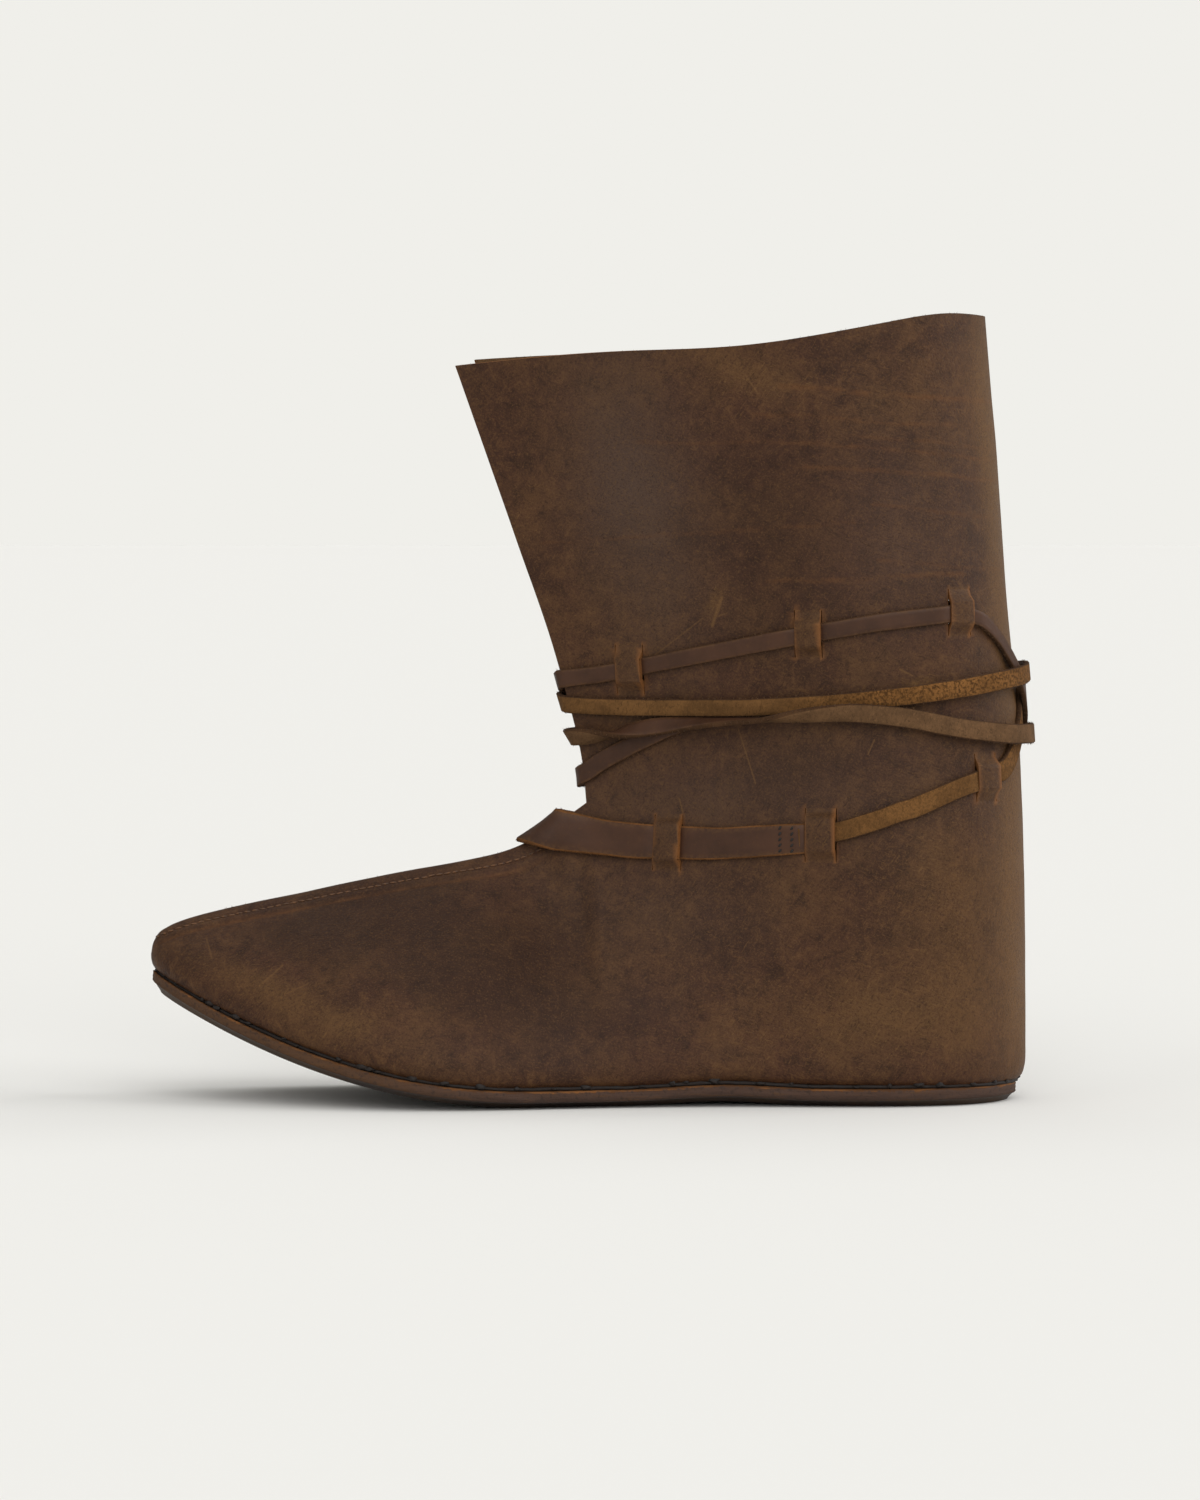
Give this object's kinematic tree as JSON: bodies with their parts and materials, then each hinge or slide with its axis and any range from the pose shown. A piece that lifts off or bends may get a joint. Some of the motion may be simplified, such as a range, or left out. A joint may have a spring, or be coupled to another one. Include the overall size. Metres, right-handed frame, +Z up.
{
  "type": "leather boot",
  "caption": "Turn-sewn brown leather ankle boot, pointed toe, open-front shaft, instep strap and leather laces wound round the ankle.",
  "frame": {"origin": "middle of the boot's box in plan, on the floor that the sole stands on", "axes": "-X towards the toe, +X towards the heel, -Y towards the outer side of this left boot, +Z up"},
  "size_m": [0.292, 0.0962, 0.2578],
  "materials": {
    "oiled_leather": "oiled, worn, satin",
    "sole_leather": "matt cut edge",
    "flesh_side_leather": "rough flesh side",
    "lace_leather": "matt, fibrous edges"
  },
  "bodies": {
    "root": {"upper": "oiled_leather", "outsole": "sole_leather", "insole": "flesh_side_leather", "instep_strap": "oiled_leather", "lace_outer": "lace_leather", "lace_inner": "lace_leather"}
  },
  "joints": []
}
